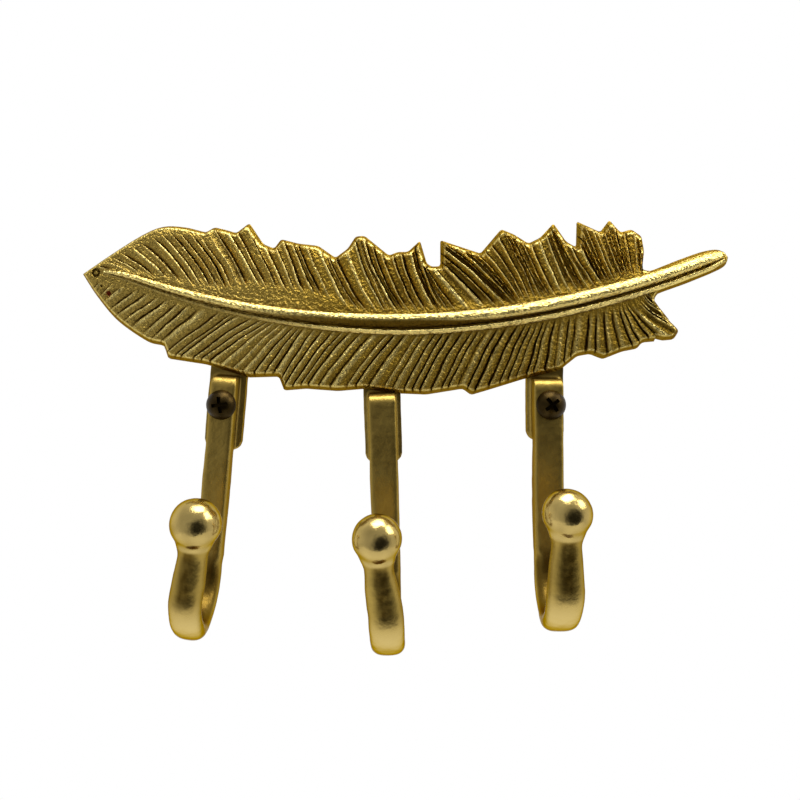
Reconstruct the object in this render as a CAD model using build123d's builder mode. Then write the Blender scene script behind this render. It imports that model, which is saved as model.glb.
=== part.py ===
"""Triple wall hook: a cast feather plate, three ball-ended hooks brazed behind it, and two wall screws."""

import os
from math import asin, cos, dist, pi, radians, sin, sqrt

from build123d import *

# Millimetres. The wall is y = 0, the front faces -Y, and z = 0 is the line of the two screws.

# Feather plate
feather_length = 202.0  # tip to quill end, along X
feather_tip_x = -95.0
upper_vane_height = 30.0  # above the rachis line, what the upper edge is a share of
lower_vane_height = 24.0  # below the rachis line, what the lower edge is a share of
quill_half_height = 4.0
plate_thickness = 4.0
edge_spread = 0.25  # the back edge stands this far outside the outline
edge_draft = 1.3  # the front rim stands this far inside the back edge
rachis_radius = 252.0
rachis_low_x = 4.3
rachis_low_z = 25.6
rachis_width = 4.6
rachis_height = 2.4
rachis_root = 0.5  # how deep the rib is sunk in the plate
rachis_runs = 3  # straight runs of the rib between two rows of its table
upper_bed = 3.8  # smooth strip above the rachis line, where the upper barbs begin
lower_bed = 4.4  # smooth strip below the rachis line, where the lower barbs begin
barb_pitch = 3.6
groove_depth = 0.9
groove_steep_run = 0.3  # width of the steep flank for each millimetre of height
groove_shallow_run = 1.9  # width of the shallow flank for each millimetre of height

# Hooks
hook_width = 8.6
hook_drop = 68.5  # screw line to the lowest point of a hook
hook_thickness = 6.5
hook_chamfer = 1.4
bend_radius = 10.0  # inside the bend
arm_length = 22.1  # end of the bend to the middle of the ball
arm_flare = 9.0  # degrees that the arm leans out from the shank
neck_width = 8.2
neck_thickness = 6.2
ball_diameter = 13.0
ball_bands = 9  # rows of flats from the neck to the top, which keep the ball's facets few
ball_flats = 18  # in each row
pad_width = 11.8
pad_thickness = 3.2
pad_corner = 3.0
pad_rise = 54.5  # lowest point of the hook up to the lower end of its pad
tang_length = 16.0  # how far the pad runs up behind the feather
shoulder_radius = 3.5
shoulder_gap = 0.3  # between the feather's lower edge and the top of a shank

# Wall screws
screw_spacing = 101.0
shank_diameter = 4.5  # plain length under the head, as far as the wall
thread_diameter = 3.8  # halfway between the thread's root and crest
screw_length = 30.0  # under the head
screw_point = 6.0
point_diameter = 0.8
screw_clearance = 0.4  # around the screw in its hole
head_diameter = 9.2
head_height = 2.9
head_bands = 2  # straight bands of the domed head
recess_span = 5.0
recess_width = 1.1
recess_depth = 1.9

# Name, share of the screw spacing along X, lean in degrees, shares of hook_drop, hook_width and ball_diameter,
# sideways set of the ball as a share of hook_width, and the side of the screw, or 0 for none
HOOKS = (
    ("left_hook", -0.500, 5.0, 1.00, 0.94, 1.13, 0.22, -1),
    ("middle_hook", -0.013, -1.7, 1.06, 1.02, 1.10, -0.21, 0),
    ("right_hook", 0.494, -0.3, 0.96, 1.06, 1.10, -0.02, 1),
)

# Each row of an edge: share of the feather's length from the tip, share of the vane's height away from
# the rachis, and the share of the length where the barb that ends there is rooted.
TIP_CURVE = (
    (0.000, -0.17, 0.020),
    (0.040, 0.13, 0.104),
    (0.091, 0.47, 0.175),
    (0.124, 0.63, 0.202),
    (0.158, 0.69, 0.229),
    (0.191, 0.70, 0.251),
)
UPPER_TEETH = (
    (0.203, 0.77, 0.262),
    (0.220, 0.77, 0.285),
    (0.237, 0.76, 0.299),
    (0.257, 0.89, 0.315),
    (0.278, 0.70, 0.327),
    (0.296, 0.67, 0.343),
    (0.307, 0.78, 0.355),
    (0.333, 0.76, 0.386),
    (0.364, 0.76, 0.414),
    (0.391, 0.65, 0.448),
    (0.411, 0.76, 0.470),
    (0.423, 0.89, 0.482),
    (0.436, 0.90, 0.495),
    (0.474, 0.70, 0.522),
    (0.488, 0.74, 0.535),
    (0.504, 0.74, 0.550),
    (0.522, 0.85, 0.565),
    (0.532, 0.62, 0.581),
    (0.540, 0.58, 0.600),
    (0.555, 0.58, 0.625),
    (0.555, 0.85, 0.672),
    (0.617, 0.68, 0.682),
    (0.649, 0.91, 0.700),
    (0.668, 0.84, 0.721),
    (0.691, 0.72, 0.733),
    (0.710, 0.76, 0.755),
    (0.730, 0.88, 0.780),
    (0.749, 0.67, 0.795),
    (0.766, 0.58, 0.808),
    (0.767, 0.85, 0.820),
    (0.803, 0.68, 0.836),
    (0.817, 0.78, 0.843),
    (0.834, 0.62, 0.850),
    (0.851, 0.62, 0.857),
    (0.866, 0.52, 0.862),
    (0.870, 0.36, 0.865),
    (0.867, 0.17, 0.868),
)
LOWER_TEETH = (
    (0.126, 0.76, 0.212),
    (0.132, 0.90, 0.237),
    (0.191, 0.84, 0.302),
    (0.256, 0.89, 0.336),
    (0.304, 0.81, 0.361),
    (0.312, 0.98, 0.388),
    (0.346, 0.92, 0.423),
    (0.395, 0.91, 0.473),
    (0.436, 0.86, 0.507),
    (0.490, 0.91, 0.550),
    (0.532, 0.93, 0.591),
    (0.589, 0.88, 0.643),
    (0.602, 0.97, 0.659),
    (0.639, 0.91, 0.688),
    (0.679, 0.85, 0.712),
    (0.740, 0.81, 0.744),
    (0.766, 0.68, 0.774),
    (0.786, 0.69, 0.789),
    (0.806, 0.80, 0.802),
    (0.836, 0.77, 0.817),
    (0.859, 0.79, 0.825),
    (0.867, 0.73, 0.828),
    (0.887, 0.77, 0.831),
    (0.916, 0.83, 0.834),
    (0.924, 0.75, 0.837),
    (0.911, 0.59, 0.842),
    (0.894, 0.36, 0.854),
    (0.885, 0.23, 0.867),
)
CHIN_CURVE = (
    (0.022, 0.42, 0.054),
    (0.054, 0.63, 0.127),
    (0.099, 0.76, 0.174),
)
# Quill outline: share of the length, and share of quill_half_height above the rachis line
QUILL = (
    (0.879, 0.92),
    (0.926, 1.00),
    (0.964, 0.90),
    (0.988, 0.48),
    (1.000, -0.38),
    (0.991, -0.88),
    (0.941, -0.95),
    (0.890, -0.98),
)
# Rachis rib: share of the length, then as shares of rachis_width its set above the rachis line, its width
# and the width of the ledge below it, and its share of rachis_height
RACHIS = (
    (0.035, 0.00, 0.35, 0.13, 0.33),
    (0.200, 0.00, 0.65, 0.22, 0.67),
    (0.500, 0.07, 1.00, 0.39, 0.92),
    (0.800, 0.26, 0.96, 0.41, 1.00),
    (0.975, 0.17, 0.74, 0.28, 0.75),
)

feather_back = pad_thickness
feather_front = pad_thickness + plate_thickness
shank_front = pad_thickness + hook_thickness


def along(share):
    """X of a share of the feather's length."""
    return feather_tip_x + feather_length * share


def rachis_z(x):
    """Height of the rachis line."""
    return rachis_low_z + rachis_radius - sqrt(rachis_radius**2 - (x - rachis_low_x) ** 2)


def on_feather(share, above):
    """Point of the plate, with its height given from the rachis line."""
    return along(share), rachis_z(along(share)) + above


def inset(points, distance):
    """A clockwise outline with each corner moved in, square to both of its sides."""
    moved = []
    for i, here in enumerate(points):
        before = points[i - 1]
        after = points[(i + 1) % len(points)]
        run_in = dist(before, here)
        run_out = dist(here, after)
        in_x, in_z = (here[1] - before[1]) / run_in, (before[0] - here[0]) / run_in
        out_x, out_z = (after[1] - here[1]) / run_out, (here[0] - after[0]) / run_out
        reach = distance / max(1 + in_x * out_x + in_z * out_z, 0.55)
        moved.append((here[0] + (in_x + out_x) * reach, here[1] + (in_z + out_z) * reach))
    return moved


def barbs(edge, vane, bed):
    """Root and tip of every groove between the rows of an edge, as points of the plate."""
    lines = []
    for first, last in zip(edge, edge[1:]):
        tips = [on_feather(row[0], row[1] * vane) for row in (first, last)]
        step = (dist(*tips) + feather_length * abs(last[2] - first[2])) / 2
        count = max(1, round(step / barb_pitch))
        for i in range(count):
            part = (i + 0.5) / count
            root = first[2] + (last[2] - first[2]) * part
            tip = [a + (b - a) * part for a, b in zip(*tips)]
            lines.append((on_feather(root, bed * min(1, 0.35 + root / 0.4)), tip))
    return lines


def rachis_rows():
    """Rows of the rachis table, with more rows put in evenly between them."""
    rows = []
    for first, last in zip(RACHIS, RACHIS[1:]):
        for i in range(rachis_runs):
            rows.append([a + (b - a) * i / rachis_runs for a, b in zip(first, last)])
    return rows + [RACHIS[-1]]


def placed(hang, plane):
    """A plane of an upright hook, carried to where the hook hangs."""
    return Plane(hang * plane.location)


def lowest_edge(left, right):
    """Lowest height of the feather's lower edge between two values of x."""
    rows = [on_feather(share, -below * lower_vane_height) for share, below, _ in LOWER_TEETH]
    heights = []
    for (x1, z1), (x2, z2) in zip(rows, rows[1:]):
        for x in (left, right):
            if min(x1, x2) <= x <= max(x1, x2) and x1 != x2:
                heights.append(z1 + (z2 - z1) * (x - x1) / (x2 - x1))
        if left < x1 < right:
            heights.append(z1)
    return min(heights)


tip_curve = [on_feather(share, above * upper_vane_height) for share, above, _ in TIP_CURVE]
upper_teeth = [on_feather(share, above * upper_vane_height) for share, above, _ in UPPER_TEETH]
quill = [on_feather(share, above * quill_half_height) for share, above in QUILL]
lower_teeth = [on_feather(share, -below * lower_vane_height) for share, below, _ in reversed(LOWER_TEETH)]
chin_curve = [on_feather(share, -below * lower_vane_height) for share, below, _ in reversed(CHIN_CURVE)]
outline = tip_curve + upper_teeth + quill + lower_teeth + chin_curve
back_edge = inset(outline, -edge_spread)
front_edge = inset(outline, edge_draft - edge_spread)

teeth_from = len(tip_curve) - 1
quill_from = len(tip_curve) + len(upper_teeth)
quill_to = quill_from + len(quill) - 1
chin_from = quill_to + len(lower_teeth)

with BuildPart() as feather_plate:
    # Plate, drafted from the back edge to the front rim
    for depth, edge in ((feather_back, back_edge), (feather_front, front_edge)):
        with BuildSketch(Plane.XZ.offset(depth)):
            with BuildLine():
                Spline(*edge[: teeth_from + 1])
                Polyline(*edge[teeth_from : quill_from + 1])
                Spline(*edge[quill_from : quill_to + 1])
                Polyline(*edge[quill_to : chin_from + 1])
                Spline(*edge[chin_from:], edge[0])
            make_face()
    loft(ruled=True)

    # Barbs: a lopsided V groove from the rachis bed to the edge, fading out at its root
    lines = barbs(TIP_CURVE + UPPER_TEETH, upper_vane_height, upper_bed)
    lines += barbs(CHIN_CURVE + LOWER_TEETH, -lower_vane_height, -lower_bed)
    grooves = []
    for root, tip in lines:
        start = Vector(root[0], -feather_front - groove_depth / 8, root[1])
        end = Vector(tip[0], groove_depth - feather_front, tip[1])
        run = end - start
        height = groove_depth * 2
        with BuildSketch(Plane(start, x_dir=(run.Z, 0, -run.X), z_dir=run)):
            with BuildLine():
                Polyline(
                    (0, 0),
                    (-groove_steep_run * height, -height),
                    (groove_shallow_run * height, -height),
                    close=True,
                )
            make_face()
        grooves.append(extrude(amount=run.length + edge_draft, mode=Mode.PRIVATE))
    add(grooves, mode=Mode.SUBTRACT)

    # Rachis: a rounded rib with a low ledge along its lower side
    for share, set_above, width_share, ledge_share, height_share in rachis_rows():
        x = along(share)
        turn = asin((x - rachis_low_x) / rachis_radius)
        out = (sin(turn), 0, -cos(turn))
        height = rachis_height * height_share
        top = -rachis_width * (width_share / 2 + set_above)
        low = rachis_width * (width_share / 2 - set_above)
        ledge = low + rachis_width * ledge_share
        with BuildSketch(Plane((x, -feather_front, rachis_z(x)), x_dir=out, z_dir=(-cos(turn), 0, -sin(turn)))):
            with BuildLine():
                ThreePointArc((top, height * 0.1), ((top + low) / 2, height), (low, height * 0.3))
                Polyline(
                    (low, height * 0.3),
                    (ledge, height * 0.25),
                    (ledge, -rachis_root),
                    (top, -rachis_root),
                    (top, height * 0.1),
                )
            make_face()
    loft(ruled=True)

feather_plate.part.label = "feather_plate"
os.makedirs("parts", exist_ok=True)
export_step(feather_plate.part, "parts/feather_plate.step")

for name, x_share, lean, drop_share, width_share, ball_share, set_share, screw_side in HOOKS:
    x = x_share * screw_spacing
    drop = hook_drop * drop_share
    width = hook_width * width_share
    ball_radius = ball_diameter * ball_share / 2
    set_over = hook_width * set_share
    hang = Location((x, 0, 0), (0, lean, 0))
    flare = radians(arm_flare)
    middle_radius = bend_radius + hook_thickness / 2
    bend_y = -(shank_front + bend_radius)
    bend_z = bend_radius + hook_thickness - drop
    shoulder_z = lowest_edge(x - pad_width / 2, x + pad_width / 2) - shoulder_gap
    pad_low = pad_rise - drop
    pad_high = shoulder_z + tang_length
    bend_end = (0, bend_y - middle_radius * cos(flare), bend_z - middle_radius * sin(flare))
    arm = placed(hang, Plane(bend_end, x_dir=(1, 0, 0), z_dir=(0, -sin(flare), cos(flare))))
    bend = placed(hang, Plane((0, bend_y, bend_z), x_dir=(0, 1, 0), z_dir=(-1, 0, 0)))

    with BuildPart() as hook:
        # Shank, with its top end rounded off in front
        with BuildSketch(placed(hang, Plane.XY.offset(bend_z))) as bar:
            with Locations((0, bend_y + middle_radius)):
                Rectangle(width, hook_thickness)
            chamfer(bar.vertices(), hook_chamfer)
        extrude(amount=shoulder_z - bend_z)
        with BuildSketch(placed(hang, Plane.YZ)):
            with BuildLine():
                Polyline(
                    (shoulder_radius - shank_front, shoulder_z),
                    (shoulder_radius - shank_front, shoulder_z + shoulder_radius),
                    (-shank_front - shoulder_radius, shoulder_z + shoulder_radius),
                    (-shank_front - shoulder_radius, shoulder_z - shoulder_radius),
                    (-shank_front, shoulder_z - shoulder_radius),
                )
                RadiusArc(
                    (-shank_front, shoulder_z - shoulder_radius),
                    (shoulder_radius - shank_front, shoulder_z),
                    shoulder_radius,
                )
            make_face()
        extrude(amount=width, both=True, mode=Mode.SUBTRACT)

        # Bend, arm and ball
        revolve(bar.sketch, axis=Axis(bend.origin, bend.z_dir), revolution_arc=180 - arm_flare)
        with BuildSketch(arm) as arm_foot:
            Rectangle(width, hook_thickness)
            chamfer(arm_foot.vertices(), hook_chamfer)
        with BuildSketch(arm.offset(arm_length - ball_radius / 2)) as arm_neck:
            with Locations((set_over, 0)):
                Rectangle(neck_width, neck_thickness)
            chamfer(arm_neck.vertices(), hook_chamfer)
        loft(ruled=True)
        corners = []
        for i in range(ball_bands):
            fall = pi * (i + 0.5) / ball_bands
            for k in range(ball_flats):
                turn = 2 * pi * k / ball_flats
                corners.append((sin(fall) * cos(turn), sin(fall) * sin(turn), cos(fall)))
        with Locations(arm.offset(arm_length).location * Pos(set_over, 0, 0)):
            ConvexPolyhedron([Vector(corner) * ball_radius for corner in corners])

        # Pad on the wall, running up behind the feather as a tang
        with BuildSketch(placed(hang, Plane.XZ)):
            with Locations((0, (pad_low + pad_high) / 2)):
                RectangleRounded(pad_width, pad_high - pad_low, pad_corner)
        extrude(amount=pad_thickness)
        if screw_side:
            with BuildSketch(Plane.XZ):
                with Locations((screw_side * screw_spacing / 2, 0)):
                    Circle(shank_diameter / 2 + screw_clearance)
            extrude(amount=shank_front, mode=Mode.SUBTRACT)

    hook.part.label = name
    export_step(hook.part, f"parts/{name}.step")

with BuildPart() as wall_screws:
    dome_radius = ((head_diameter / 2) ** 2 + head_height**2) / (2 * head_height)
    dome_turn = asin(head_diameter / 2 / dome_radius)
    turns = [dome_turn * (i + 0.5) / (head_bands + 0.5) for i in range(head_bands + 1)]
    dome = [(dome_radius * (1 - cos(turn)) - head_height, dome_radius * sin(turn)) for turn in turns]
    for side, turn in ((-1, 8), (1, 38)):
        x = side * screw_spacing / 2
        seat = Plane((x, -shank_front, 0), x_dir=(0, 1, 0), z_dir=(1, 0, 0))
        with BuildSketch(seat):
            with BuildLine():
                Polyline(
                    (dome[0][0], 0),
                    *dome,
                    (0, shank_diameter / 2),
                    (shank_front, shank_diameter / 2),
                    (shank_front, thread_diameter / 2),
                    (screw_length - screw_point, thread_diameter / 2),
                    (screw_length, point_diameter / 2),
                    (screw_length, 0),
                    close=True,
                )
            make_face()
        revolve(axis=Axis(seat.origin, (0, 1, 0)))
        with BuildSketch(Plane.XZ.offset(shank_front + head_height)):
            with Locations((x, 0)):
                Rectangle(recess_span, recess_width, rotation=turn)
                Rectangle(recess_width, recess_span, rotation=turn)
        extrude(amount=-recess_depth, mode=Mode.SUBTRACT)

wall_screws.part.label = "wall_screws"
export_step(wall_screws.part, "parts/wall_screws.step")
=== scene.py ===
"""Brass feather rail with three ball-ended hooks: the castings and screws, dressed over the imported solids."""

import random
from math import asin, cos, dist, hypot, pi, radians, sin, sqrt

import bpy
from mathutils import Matrix, Vector, noise


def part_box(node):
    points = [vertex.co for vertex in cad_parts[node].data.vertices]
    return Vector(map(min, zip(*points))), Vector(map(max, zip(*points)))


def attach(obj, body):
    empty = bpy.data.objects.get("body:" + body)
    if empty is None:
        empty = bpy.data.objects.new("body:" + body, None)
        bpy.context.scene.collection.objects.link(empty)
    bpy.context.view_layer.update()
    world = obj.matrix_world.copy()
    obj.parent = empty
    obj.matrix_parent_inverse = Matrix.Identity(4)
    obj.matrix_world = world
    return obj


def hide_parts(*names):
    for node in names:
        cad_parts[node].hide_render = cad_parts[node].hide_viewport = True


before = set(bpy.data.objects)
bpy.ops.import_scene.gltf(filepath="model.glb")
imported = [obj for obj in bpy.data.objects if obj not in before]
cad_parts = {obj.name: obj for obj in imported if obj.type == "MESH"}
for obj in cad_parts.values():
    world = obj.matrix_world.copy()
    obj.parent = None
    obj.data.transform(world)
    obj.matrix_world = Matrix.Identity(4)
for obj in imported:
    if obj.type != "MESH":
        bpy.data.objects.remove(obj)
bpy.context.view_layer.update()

# Sizes are in millimetres, and become metres where a piece is made. The wall is y = 0 and the front faces -Y.
MM = 0.001
SEAM_GAP = 0.000002  # corners that lie closer than this are merged, in metres

# Feather outline and rachis, the same as the solids
FEATHER_LENGTH = 202.0
FEATHER_TIP_X = -95.0
UPPER_VANE = 30.0
LOWER_VANE = 24.0
QUILL_HALF = 4.0
FEATHER_BACK = 3.2
FEATHER_FRONT = 7.2
EDGE_SPREAD = 0.25
RACHIS_RADIUS = 252.0
RACHIS_LOW_X = 4.3
RACHIS_LOW_Z = 25.6
RACHIS_WIDTH = 4.6
RACHIS_HEIGHT = 2.4
TIP_DIP = 2.2  # how far the rachis dips at its first root
DIP_START = 0.09  # share of the length where the dip begins
DIP_RUN = 0.06  # share of the length from there to the first root
MITRE_LEAST = 0.55  # keeps a sharp corner from moving too far when the outline is inset

# Rows of an edge: share of the length from the tip, share of the vane's height away from the rachis, and
# the share of the length where the barb that ends there is rooted
TIP_CURVE = (
    (0.000, -0.17, 0.030),
    (0.040, 0.13, 0.104),
    (0.091, 0.47, 0.175),
    (0.124, 0.63, 0.202),
    (0.158, 0.69, 0.229),
    (0.191, 0.70, 0.251),
)
UPPER_TEETH = (
    (0.203, 0.77, 0.262),
    (0.220, 0.77, 0.285),
    (0.237, 0.76, 0.299),
    (0.257, 0.89, 0.315),
    (0.278, 0.70, 0.327),
    (0.296, 0.67, 0.343),
    (0.307, 0.78, 0.355),
    (0.333, 0.76, 0.386),
    (0.364, 0.76, 0.414),
    (0.391, 0.65, 0.448),
    (0.411, 0.76, 0.470),
    (0.423, 0.89, 0.482),
    (0.436, 0.90, 0.495),
    (0.474, 0.70, 0.522),
    (0.488, 0.74, 0.535),
    (0.504, 0.74, 0.550),
    (0.522, 0.85, 0.565),
    (0.532, 0.62, 0.581),
    (0.540, 0.58, 0.600),
    (0.555, 0.58, 0.625),
    (0.555, 0.85, 0.672),
    (0.617, 0.68, 0.682),
    (0.649, 0.91, 0.700),
    (0.668, 0.84, 0.721),
    (0.691, 0.72, 0.733),
    (0.710, 0.76, 0.755),
    (0.730, 0.88, 0.780),
    (0.749, 0.67, 0.795),
    (0.766, 0.58, 0.808),
    (0.767, 0.85, 0.820),
    (0.803, 0.68, 0.836),
    (0.817, 0.78, 0.843),
    (0.834, 0.62, 0.850),
    (0.851, 0.62, 0.857),
    (0.866, 0.52, 0.862),
    (0.870, 0.36, 0.865),
    (0.867, 0.17, 0.868),
)
LOWER_TEETH = (
    (0.126, 0.76, 0.212),
    (0.132, 0.90, 0.237),
    (0.191, 0.84, 0.302),
    (0.256, 0.89, 0.336),
    (0.304, 0.81, 0.361),
    (0.312, 0.98, 0.388),
    (0.346, 0.92, 0.423),
    (0.395, 0.91, 0.473),
    (0.436, 0.86, 0.507),
    (0.490, 0.91, 0.550),
    (0.532, 0.93, 0.591),
    (0.589, 0.88, 0.643),
    (0.602, 0.97, 0.659),
    (0.639, 0.91, 0.688),
    (0.679, 0.85, 0.712),
    (0.740, 0.81, 0.744),
    (0.766, 0.68, 0.774),
    (0.786, 0.69, 0.789),
    (0.806, 0.80, 0.802),
    (0.836, 0.77, 0.817),
    (0.859, 0.79, 0.825),
    (0.867, 0.73, 0.828),
    (0.887, 0.77, 0.831),
    (0.916, 0.83, 0.834),
    (0.924, 0.75, 0.837),
    (0.911, 0.59, 0.842),
    (0.894, 0.36, 0.854),
    (0.885, 0.23, 0.867),
)
CHIN_CURVE = (
    (0.022, 0.42, 0.054),
    (0.054, 0.63, 0.127),
    (0.099, 0.76, 0.174),
)
# Quill: share of the length, share of its half height above the rachis, and the root
QUILL = (
    (0.879, 0.92, 0.880),
    (0.926, 1.00, 0.926),
    (0.964, 0.90, 0.958),
    (0.988, 0.48, 0.975),
    (1.000, -0.38, 0.985),
    (0.991, -0.88, 0.975),
    (0.941, -0.95, 0.941),
    (0.890, -0.98, 0.886),
)
# Rib: share of the length, then as shares of the rachis width its set above the line, its width and the
# width of the ledge below it, and its share of the rachis height
RACHIS = (
    (0.038, 0.00, 0.18, 0.08, 0.04),
    (0.070, 0.00, 0.40, 0.15, 0.36),
    (0.200, 0.00, 0.65, 0.24, 0.67),
    (0.500, 0.07, 1.00, 0.40, 0.92),
    (0.800, 0.26, 0.96, 0.42, 1.00),
    (0.965, 0.17, 0.78, 0.36, 0.80),
    (0.985, 0.05, 0.50, 0.20, 0.20),
)
# Bow of the barbs: share of the length at the root, and how far the middle stands off to the upper right
UPPER_BOW = ((0.02, 0.02), (0.14, 0.12), (0.25, 0.09), (0.36, -0.02), (0.50, -0.10), (0.58, -0.09))
UPPER_BOW += ((0.64, 0.07), (0.69, 0.06), (0.74, -0.06), (0.80, -0.07), (0.84, -0.02), (0.99, 0.0))
LOWER_BOW = ((0.02, 0.0), (0.30, 0.03), (0.60, 0.04), (0.78, 0.0), (0.825, 0.10), (0.84, 0.12), (0.99, 0.0))


def along(share):
    """X of a share of the feather's length."""
    return FEATHER_TIP_X + FEATHER_LENGTH * share


def rachis_z(x):
    """Height of the rachis line."""
    return RACHIS_LOW_Z + RACHIS_RADIUS - sqrt(RACHIS_RADIUS**2 - (x - RACHIS_LOW_X) ** 2)


def on_feather(share, above):
    """Point of the plate, with its height given from the rachis line."""
    return along(share), rachis_z(along(share)) + above


def on_rachis(share, off):
    """Point off the rachis, which dips a little to meet the feather's tip."""
    dip = TIP_DIP * (max(0.0, DIP_START - share) / DIP_RUN) ** 2
    return on_feather(share, off - dip)


def ramp(low, high, value):
    """0 below low, 1 above high, and an even curve between them."""
    part = min(max((value - low) / (high - low), 0.0), 1.0)
    return part * part * (3 - 2 * part)


def window(low, full, wane, end, value):
    """0 outside low and end, 1 from full to wane, and even curves between them."""
    return ramp(low, full, value) * (1 - ramp(wane, end, value))


def between(rows, place):
    """The row of a table at a place, between the rows before and after it."""
    for first, last in zip(rows, rows[1:]):
        if place <= last[0]:
            break
    part = min(max((place - first[0]) / (last[0] - first[0]), 0.0), 1.0)
    return [a + (b - a) * part for a, b in zip(first, last)]


def inset(points, distance):
    """A clockwise outline with each corner moved in, square to both of its sides."""
    moved = []
    for i, here in enumerate(points):
        before = points[i - 1]
        after = points[(i + 1) % len(points)]
        run_in = dist(before, here)
        run_out = dist(here, after)
        in_x, in_z = (here[1] - before[1]) / run_in, (before[0] - here[0]) / run_in
        out_x, out_z = (after[1] - here[1]) / run_out, (here[0] - after[0]) / run_out
        reach = distance / max(1 + in_x * out_x + in_z * out_z, MITRE_LEAST)
        moved.append((here[0] + (in_x + out_x) * reach, here[1] + (in_z + out_z) * reach))
    return moved


def deselect():
    """Leaves nothing selected, so that the next operator acts on the new piece alone."""
    bpy.ops.object.select_all(action="DESELECT")


def pick(piece):
    """Leaves one piece selected and active, so that the next operator acts on it alone."""
    deselect()
    piece.select_set(True)
    bpy.context.view_layer.objects.active = piece


def settle():
    """Writes the place, turn and scale of the selected piece into its points."""
    bpy.ops.object.transform_apply(location=True, rotation=True, scale=True)


def apply_modifier(piece, kind, **settings):
    """Adds a modifier with its settings and applies it."""
    modifier = piece.modifiers.new(kind.lower(), kind)
    for key, value in settings.items():
        setattr(modifier, key, value)
    bpy.context.view_layer.objects.active = piece
    bpy.ops.object.modifier_apply(modifier=modifier.name)


def cut_out(piece, tool):
    """Takes the form of a tool out of a piece, and the tool out of the scene."""
    apply_modifier(piece, "BOOLEAN", object=tool, operation="DIFFERENCE", solver="EXACT")
    bpy.data.objects.remove(tool)


def shaped_grid(name, rows):
    """A grid with each corner moved to its point in a table of rows."""
    across = len(rows[0]) - 1
    down = len(rows) - 1
    deselect()
    bpy.ops.mesh.primitive_grid_add(x_subdivisions=across, y_subdivisions=down, size=2)
    piece = bpy.context.object
    piece.name = name
    for corner in piece.data.vertices:
        column = round((corner.co.x + 1) / 2 * across)
        row = round((corner.co.y + 1) / 2 * down)
        corner.co = Vector(rows[row][column]) * MM
    return piece


def paint(piece, layer, values):
    """Writes a layer of wear and painted highlight, of tarnish and painted shade, or of rust: one value for
    each corner, in the order that they come.
    """
    attribute = piece.data.attributes.new(layer, "FLOAT", "POINT")
    attribute.data.foreach_set("value", values)


def painted_grid(name, rows, layers):
    """A shaped grid whose table gives each corner's point and then its value in each layer."""
    piece = shaped_grid(name, [[corner[:3] for corner in row] for row in rows])
    for k, layer in enumerate(layers):
        paint(piece, layer, [corner[3 + k] for row in rows for corner in row])
    return piece


def close_up(piece):
    """Merges the seams of a piece, fills what is still open and turns its faces outwards."""
    pick(piece)
    bpy.ops.object.mode_set(mode="EDIT")
    bpy.ops.mesh.select_all(action="SELECT")
    bpy.ops.mesh.remove_doubles(threshold=SEAM_GAP)
    bpy.ops.mesh.select_all(action="SELECT")
    bpy.ops.mesh.fill_holes(sides=0)
    bpy.ops.mesh.select_all(action="SELECT")
    bpy.ops.mesh.normals_make_consistent(inside=False)
    bpy.ops.object.mode_set(mode="OBJECT")


def join(name, pieces):
    """One piece made of several."""
    deselect()
    for piece in pieces:
        piece.select_set(True)
    bpy.context.view_layer.objects.active = pieces[0]
    bpy.ops.object.join()
    pieces[0].name = name
    return pieces[0]


def smooth(piece, angle):
    """Smooth shading, with edges sharper than the angle kept crisp."""
    pick(piece)
    bpy.ops.object.shade_smooth_by_angle(angle=radians(angle))


# Feather plate: two vanes of barbs, and the rachis rib that lies over the line where they meet

COLUMNS = 32  # from the rachis to the rim
SLIT = 0.4  # half of the strip under the rib, between the two vanes
SLIT_RUN = 0.05  # share of the length in which the strip opens at the tip and closes at the quill
RIM_INSET = 1.5
CORNER_ROUND = 0.9  # length of each side of a tooth that its rounded corner takes
CORNER_MOST = 0.42  # share of a short side that it takes at most
# Edge below the rim: distance inside the outline, and share of the way from the rim to the back
WALL = ((1.2, 0.035), (0.9, 0.11), (0.6, 0.3), (0.2, 0.68), (0.02 - EDGE_SPREAD, 1.0))
EDGE_FALL = 0.9  # how far the rim lies behind the middle of the plate
EDGE_FALL_RUN = 14.0  # length of the barbs from which it lies as far as that
EDGE_WEAR = 0.8  # polish of the edge next to the rim
# Barb from one groove to the next: share of its pitch, and share of the groove's depth. An upper barb is a
# hollow facet that rises to a thin crest, and a lower one is a land with a soft crest at its upper side.
UPPER_BARB = ((0.0, 1.0), (0.05, 0.97), (0.11, 0.76), (0.2, 0.62), (0.35, 0.57), (0.52, 0.5), (0.67, 0.36))
UPPER_BARB += ((0.77, 0.17), (0.84, 0.04), (0.89, 0.0), (0.93, 0.12), (0.965, 0.6), (1.0, 1.0))
LOWER_BARB = ((0.0, 1.0), (0.04, 0.75), (0.085, 0.4), (0.14, 0.15), (0.2, 0.03), (0.28, 0.0), (0.4, 0.06))
LOWER_BARB += ((0.58, 0.13), (0.74, 0.2), (0.85, 0.3), (0.93, 0.6), (1.0, 1.0))
# The last lower barbs are broad lobes like spoons, hollow between two rims
SPOON = ((0.0, 1.0), (0.03, 0.8), (0.06, 0.45), (0.1, 0.15), (0.14, 0.0), (0.19, 0.05), (0.24, 0.25))
SPOON += ((0.3, 0.55), (0.37, 0.8), (0.44, 0.92), (0.5, 0.95), (0.56, 0.92), (0.63, 0.8), (0.7, 0.55))
SPOON += ((0.76, 0.25), (0.81, 0.05), (0.86, 0.0), (0.9, 0.15), (0.94, 0.45), (0.97, 0.8), (1.0, 1.0))
SPOON_DEPTH = 1.15
SPOON_HOLLOW = (0.25, 0.6)  # shares of a lobe's length where its hollow begins and is full
LOBES = (26.0, 29.0, 30.0, 31.0)  # corners of the lower edge, counted from the tip, where a lobe ends
LOBE_NOTCH = 0.07  # share of a lobe's length that the notches beside it take
NOTCH_WIDTH = 0.16  # share of a lobe's width in which its end rounds into a notch
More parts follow.
